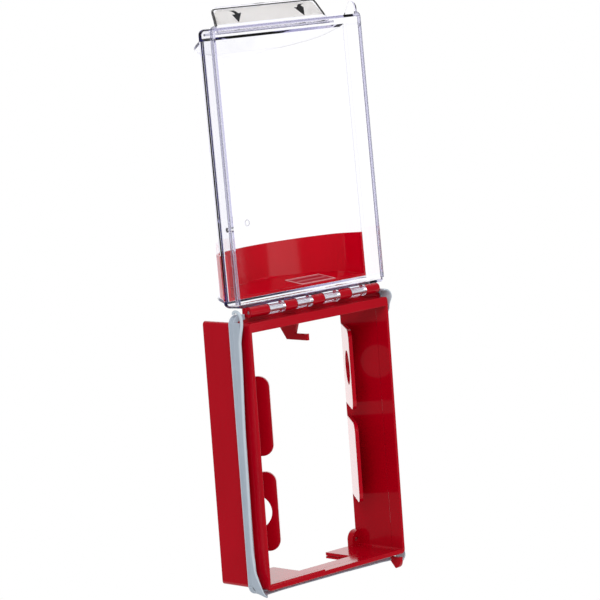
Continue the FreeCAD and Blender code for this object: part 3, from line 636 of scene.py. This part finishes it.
# %% The cut
CUT_SINK = 0.5 * MM
CUT_THICKNESS = 0.46 * MM
CUT_SLANT = 0.4
CUT_TAPER = 0.8
CUT_STEPS = 12
# in millimetres, like the stations
CUT_START = 211
CUT_LENGTH = 4.2
CUT_END_HALF = 0.1
CUT_SWELL = 0.75
CUT_DEPTH = 0.8
CUT_RISE = 2.6


def relief_cut():
    """A near-black ribbon along the lip's skin, painted shade for the inside of the cut, widest in the
    middle, that comes nearer to the room as it runs.
    """
    rings = []
    for step in range(CUT_STEPS + 1):
        share = step / CUT_STEPS
        point, outward = run_point(-1, (CUT_START + CUT_LENGTH * share) * MM)
        half = (CUT_END_HALF + CUT_SWELL * math.sin(math.pi * share)) * MM
        skin = point + outward * (SNUG + RUBBER_WALL - CUT_SINK)
        skin.y = FACE_DEPTH + (CUT_DEPTH - CUT_RISE * share) * MM
        across = Vector((0, half, CUT_SLANT * half))
        proud = outward * CUT_THICKNESS
        rings.append([skin - across, skin + across, skin + across * CUT_TAPER + proud,
                      skin - across * CUT_TAPER + proud])
    return joined_piece("rubber_relief_cut", [lofted(rings, CUT_SHADE_RUBBER, "cut")])


cut = relief_cut()
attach(cut, "frame")
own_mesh(cut)
print("cut", len(cut.data.polygons), "faces")

# %% [markdown]
# ## Arrows on the film
# Two plain curved arrows show where the fingers go. They are flat ink, so each is an outline drawn in the
# film's own plane: a tapering curl and a head. The ink is a hair thicker than the film, and so it shows on
# both of its faces, as it does through clear plastic.

# %% The arrows
film_low, film_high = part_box("lift_label")
film_rise = film_high.z - film_low.z
film_lean = math.atan2(film_high.y - film_low.y, film_rise)
film_up = Vector((0, math.sin(film_lean), math.cos(film_lean)))
film_out = Vector((0, math.cos(film_lean), -math.sin(film_lean)))
film_middle = (film_low + film_high) / 2
ARROW_SIZE = (1.45 * MM, 1.05 * MM)
ARROW_PLACES = ((-38.5 * MM, 1), (43 * MM, -1))
INK_HALF = 0.17 * MM
SAME_SPOT = 0.01 * MM
CURL_STEPS = 10
# on the arrow's own small grid, which its size stretches
ARROW_CURL = ((-4.2, 5.2), (2.6, 5.8), (3.9, 1.6))
ARROW_HEAD = ((7.6, 2.2), (2.6, -5.9), (0.2, 1.2))
TAIL_HALF = 0.15
CURL_GROWTH = 1.25


def arrow_outline(flip):
    """A short curl that widens from a pointed tail at the top, then a broad head that points down."""
    outer = []
    inner = []
    tail, bend, neck = [Vector(spot) for spot in ARROW_CURL]
    for step in range(CURL_STEPS + 1):
        share = step / CURL_STEPS
        spot = tail * (1 - share) ** 2 + bend * 2 * share * (1 - share) + neck * share ** 2
        heading = ((bend - tail) * (1 - share) + (neck - bend) * share).normalized()
        half = Vector((-heading.y, heading.x)) * (TAIL_HALF + CURL_GROWTH * share)
        outer.append(spot + half)
        inner.append(spot - half)
    path = outer + [Vector(corner) for corner in ARROW_HEAD] + list(reversed(inner))
    return [Vector((point.x * flip * ARROW_SIZE[0], point.y * ARROW_SIZE[1])) for point in path]


def ink_arrow(middle_x, flip):
    """One arrow: its outline on both faces of the ink, and the thin edge between."""
    shape = bmesh.new()
    layers = []
    for level in (-INK_HALF, INK_HALF):
        layers.append([shape.verts.new(film_middle + Vector((middle_x, 0, 0)) + Vector((spot.x, 0, 0))
                                       + film_up * spot.y + film_out * level)
                       for spot in arrow_outline(flip)])
    count = len(layers[0])
    for index in range(count):
        after = (index + 1) % count
        shape.faces.new((layers[0][index], layers[0][after], layers[1][after], layers[1][index]))
    for layer in layers:
        shape.faces.new(layer)
    bmesh.ops.triangulate(shape, faces=[face for face in shape.faces if len(face.verts) > 4])
    bmesh.ops.remove_doubles(shape, verts=shape.verts, dist=SAME_SPOT)
    bmesh.ops.recalc_face_normals(shape, faces=shape.faces)
    mesh = bpy.data.meshes.new("arrow")
    shape.to_mesh(mesh)
    shape.free()
    mesh.materials.append(INK)
    return mesh


arrows = joined_piece("lift_arrows", [ink_arrow(middle_x, flip) for middle_x, flip in ARROW_PLACES])
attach(arrows, "cover")
print("arrows", len(arrows.data.polygons), "faces")

# %% [markdown]
# ## Edges of the clear cover
# Along its two long sides the cover's rim is thickened outwards by a small bead, and another bar fills the
# inner corner at the free end. Where light that runs inside the plate comes out, at these edges, along the
# outline of the tab and at two small marks, the far wall of the seal hole and the ring that a moulding tool
# leaves in the bowed front, the lines look dark and violet. Here that is painted shade: the bars are made of
# the denser copies of the clear plastic, which absorb more. The same tree sweeps them all. Places are on the
# cover's own axes, from the hinge: sideways, towards the bowed front, and towards the free end.

# %% The rim's bead and the tab's outline
HINGE = Vector((0, -45.4 * MM, 115.5 * MM))
LEAN = math.radians(1.6)
COVER_OUT = Vector((0, math.cos(LEAN), -math.sin(LEAN)))
COVER_UP = Vector((0, math.sin(LEAN), math.cos(LEAN)))
RIM = -2.2 * MM
FREE_END = 226.5 * MM
COVER_HALF = 82.6 * MM
COVER_CORNER = 3 * MM
BEAD_START = 8 * MM
BEAD_GAP = 0.02 * MM
ARC_APPROACH = 0.5 * MM
ARC_STEPS = 8
CORNER_PLACE = (12.0 * MM, 221.8 * MM)
CORNER_ENDS = (-78 * MM, 66 * MM)
TAB_HALFWAY = 1.35 * MM
TAB_HALF_OUTLINE = ((60.9, -8.0), (57.8, 4.0), (57.4, 5.6), (56.2, 6.8), (54.0, 7.2))
RIM_BAR = (2.2 * MM, 1.7 * MM, 0.0, 0.0, 0.5 * MM)
CORNER_BAR = (1.6 * MM, 1.8 * MM, 0.0, 0.0, 0.6 * MM)
TAB_BAR = (2.0 * MM, 0.8 * MM, 0.0, 0.0, 0.2 * MM)


def on_cover(sideways, outwards, upwards):
    """A spot of the lifted cover, in the frame's axes."""
    return HINGE + Vector((sideways, 0, 0)) + COVER_OUT * outwards + COVER_UP * upwards


def rim_route(side):
    """Up one side of the rim from near the hinge, and round the corner at the free end."""
    bar_depth, bar_height = RIM_BAR[:2]
    off = bar_height / 2 + BEAD_GAP
    centre_x = COVER_HALF - COVER_CORNER
    centre_z = FREE_END - COVER_CORNER
    reach = COVER_CORNER + off
    spots = [(COVER_HALF + off, BEAD_START), (COVER_HALF + off, centre_z - ARC_APPROACH)]
    for step in range(ARC_STEPS + 1):
        angle = math.radians(90 * step / ARC_STEPS)
        spots.append((centre_x + reach * math.cos(angle), centre_z + reach * math.sin(angle)))
    return [on_cover(side * x, RIM + bar_depth / 2, z) for x, z in spots]


def tab_route():
    """Round the free edge of the tab, halfway through its thickness. The outline's points are in
    millimetres from the film's middle."""
    halfway = film_middle - film_out * TAB_HALFWAY
    whole = [*TAB_HALF_OUTLINE, *((-x, rise) for x, rise in reversed(TAB_HALF_OUTLINE))]
    return [halfway + Vector((x * MM, 0, 0)) + film_up * rise * MM for x, rise in whole]


# painted shade: the rim bars, the corner bar and the tab's outline are dark absorbing copies of the clear
# plastic
rim_bars = [swept_bar(rim_route(side), RIM_BAR, EDGE_SHADE_CLEAR, tuple(COVER_OUT)) for side in (-1, 1)]
corner_line = [on_cover(x, *CORNER_PLACE) for x in CORNER_ENDS]
rim_bars.append(swept_bar(corner_line, CORNER_BAR, EDGE_SHADE_CLEAR, tuple(COVER_OUT)))
rim_bead = joined_piece("rim_bead", rim_bars)
tab_edge = joined_piece("tab_edge", [swept_bar(tab_route(), TAB_BAR, DARK_EDGE_SHADE_CLEAR, tuple(film_out))])
print("rim bead", len(rim_bead.data.polygons), "and tab edge", len(tab_edge.data.polygons), "faces")

# %% The tool mark's ring and the seal hole's edge
MARK_PLACE = (-13.1 * MM, 53.7 * MM, 65.2 * MM)
MARK_RADIUS = 2.5 * MM
ARCH_RADIUS = 141.5 * MM
HOLE_PLACE = (-81.5 * MM, 2.6 * MM, 67.5 * MM)
HOLE_RADIUS = 2.0 * MM
HOLE_SWEEP = 130
MARK_BAR = (0.6 * MM, 0.8 * MM, 0.0, 0.0, 0.2 * MM)
HOLE_BAR = (1.6 * MM, 0.6 * MM, 0.0, 0.0, 0.1 * MM)
RING_STEPS = 24


def ring_route(place, radius, facing, sweep=360):
    """A circle round a spot of the cover, square to the direction that it faces, or the part of one
    that lies away from the rim."""
    middle = on_cover(*place)
    across = COVER_UP.cross(facing)
    turns = [math.radians(sweep * (step / RING_STEPS - 0.5)) for step in range(RING_STEPS)]
    return [middle + (across * math.cos(turn) + COVER_UP * math.sin(turn)) * radius for turn in turns]


arch_lean = math.asin(MARK_PLACE[0] / ARCH_RADIUS)
mark_faces = Vector((math.sin(arch_lean), 0, 0)) + COVER_OUT * math.cos(arch_lean)
hole_faces = Vector((1, 0, 0))
mark_route = ring_route(MARK_PLACE, MARK_RADIUS, mark_faces)
hole_route = ring_route(HOLE_PLACE, HOLE_RADIUS, hole_faces, HOLE_SWEEP)
# painted shade: the ring and the hole's edge are dark absorbing copies of the clear plastic
mark_bar = swept_bar(mark_route, MARK_BAR, EDGE_SHADE_CLEAR, tuple(mark_faces), closed=True)
hole_bar = swept_bar(hole_route, HOLE_BAR, DARK_EDGE_SHADE_CLEAR, tuple(hole_faces))
mark_ring = joined_piece("tool_mark_ring", [mark_bar])
hole_edge = joined_piece("seal_hole_edge", [hole_bar])
for piece in (rim_bead, tab_edge, mark_ring, hole_edge):
    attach(piece, "cover")
print("rings", len(mark_ring.data.polygons), "and", len(hole_edge.data.polygons), "faces")

# %% [markdown]
# ## The studio and the camera
# Product pictures like this one are lit by big soft boxes in a white room. Clear plastic is lit from
# behind: the bright wall stands beyond the object, and mirrors on the near side see a dimmer room, so that
# faces stay bright and red plastic keeps its colour. The camera sees plain white everywhere, and the pale
# floor below glows to the camera and to mirrors as the room does. Light turns many corners inside clear
# walls, so its paths are allowed more steps than usual.

# %% The white room
BRIGHT_WALL = (0.698, 0.716, 0.0)
WALL_FADES = (0.25, 0.8)
ROOM_LIGHT = 0.62
NEAR_SIDE = 0.25
CLEAR_SIDE = 1.0
WALL_LIGHT = 1.12
WALL_GLOSS = 1.6
THROUGH_CLEAR = 1.0
LAMPS_AIM = (0, 0, 0.1)
LONG_PATHS = 48
MIRROR_PATHS = 32


def either(tree, choice, first, second):
    """The first value where the choice is zero, and the second where it is one."""
    return add_node(tree, "ShaderNodeMix", {"Factor": choice, "A": first, "B": second}).outputs[0]


def white_room():
    """A world whose brightness depends on what kind of ray looks at it, and in which direction."""
    world = bpy.data.worlds.new("white_room")
    bpy.context.scene.world = world
    world.use_nodes = True
    tree = world.node_tree
    tree.nodes.clear()
    path = add_node(tree, "ShaderNodeLightPath").outputs
    heading = add_node(tree, "ShaderNodeTexCoord").outputs["Generated"]
    towards = add_node(tree, "ShaderNodeVectorMath", {0: heading, 1: BRIGHT_WALL}, operation="DOT_PRODUCT")
    wall = add_node(tree, "ShaderNodeMapRange",
                    {"Value": towards.outputs["Value"], "From Min": WALL_FADES[0],
                     "From Max": WALL_FADES[1]}, interpolation_type="SMOOTHSTEP").outputs["Result"]
    mirrored = either(tree, wall, NEAR_SIDE, WALL_GLOSS)
    looked_at = either(tree, wall, CLEAR_SIDE, WALL_LIGHT)
    scattered = calculate(tree, "MINIMUM", path["Diffuse Depth"], 1.0)
    through = either(tree, scattered, looked_at, THROUGH_CLEAR)
    glossy = either(tree, path["Is Glossy Ray"], ROOM_LIGHT, mirrored)
    light = either(tree, path["Is Transmission Ray"], glossy, through)
    shown = either(tree, path["Is Camera Ray"], light, 1.0)
    back = add_node(tree, "ShaderNodeBackground", {"Color": [1, 1, 1, 1], "Strength": shown})
    output = add_node(tree, "ShaderNodeOutputWorld")
    tree.links.new(back.outputs["Background"], output.inputs["Surface"])


def soft_box(name, place, width, height, watts):
    lamp = bpy.data.lights.new(name, "AREA")
    lamp.shape = "RECTANGLE"
    lamp.size = width
    lamp.size_y = height
    lamp.energy = watts
    holder = bpy.data.objects.new(name, lamp)
    holder.location = place
    holder.rotation_euler = (Vector(LAMPS_AIM) - Vector(place)).to_track_quat("-Z", "Y").to_euler()
    bpy.context.scene.collection.objects.link(holder)


white_room()
soft_box("key_box", place=(-1.6, -1.4, 1.5), width=1.2, height=1.2, watts=25)
soft_box("fill_box", place=(1.03, -1.94, 0.45), width=1.0, height=1.4, watts=6.5)
paths = bpy.context.scene.cycles
paths.max_bounces = LONG_PATHS
paths.transmission_bounces = LONG_PATHS
paths.glossy_bounces = MIRROR_PATHS
print("lit by", len(bpy.data.lights), "soft boxes")

# %% The floor
FLOOR_REACH = 1.5
FLOOR_HEIGHT = -0.75
FLOOR_CORNERS = ((-1, -1), (1, -1), (1, 1), (-1, 1))


def pale_floor_paint():
    """Pale paint that rays of light meet, and an even glow that the camera, mirrors and clear walls see."""
    material, tree, output, place = new_material("pale_floor_paint")
    tone = two_tone(tree, noise(tree, place, 60, 3.0), "#f4f4f4", "#fafafa")
    paint = add_node(tree, "ShaderNodeBsdfDiffuse", {"Color": tone})
    glow = add_node(tree, "ShaderNodeEmission", {"Color": [1, 1, 1, 1], "Strength": 1.0})
    path = add_node(tree, "ShaderNodeLightPath").outputs
    seen = calculate(tree, "MAXIMUM", path["Is Camera Ray"], path["Is Glossy Ray"])
    shown = calculate(tree, "MAXIMUM", seen, path["Is Transmission Ray"])
    mix = add_node(tree, "ShaderNodeMixShader", {0: shown, 1: paint.outputs[0], 2: glow.outputs[0]})
    tree.links.new(mix.outputs[0], output.inputs["Surface"])
    return material


floor_mesh = bpy.data.meshes.new("pale_floor")
corners = [(x * FLOOR_REACH, y * FLOOR_REACH, FLOOR_HEIGHT) for x, y in FLOOR_CORNERS]
floor_mesh.from_pydata(corners, [], [(0, 1, 2, 3)])
floor_mesh.materials.append(pale_floor_paint())
floor = bpy.data.objects.new("pale_floor", floor_mesh)
bpy.context.scene.collection.objects.link(floor)
print("floor at", FLOOR_HEIGHT)

# %% The camera
SENSOR_WIDTH = 36
LENS_LENGTH = 182.2
VIEW_REACH = 50
CAMERA_PLACE = Vector((-1.7112, -1.7854, 0.4226))
CAMERA_RIGHT = Vector((0.70736, -0.70312, -0.07254))
CAMERA_UP = Vector((0.13901, 0.03776, 0.98957))


def photo_camera():
    """A camera at the photographer's place, from a perspective fit to the photograph."""
    lens = bpy.data.cameras.new("photo_camera")
    lens.sensor_width = SENSOR_WIDTH
    lens.lens = LENS_LENGTH
    lens.clip_end = VIEW_REACH
    holder = bpy.data.objects.new("photo_camera", lens)
    turn = Matrix((CAMERA_RIGHT, CAMERA_UP, CAMERA_RIGHT.cross(CAMERA_UP))).transposed().to_4x4()
    holder.matrix_world = Matrix.Translation(CAMERA_PLACE) @ turn
    bpy.context.scene.collection.objects.link(holder)
    bpy.context.scene.camera = holder


photo_camera()
bpy.context.scene.view_settings.view_transform = "Standard"
print("camera placed")
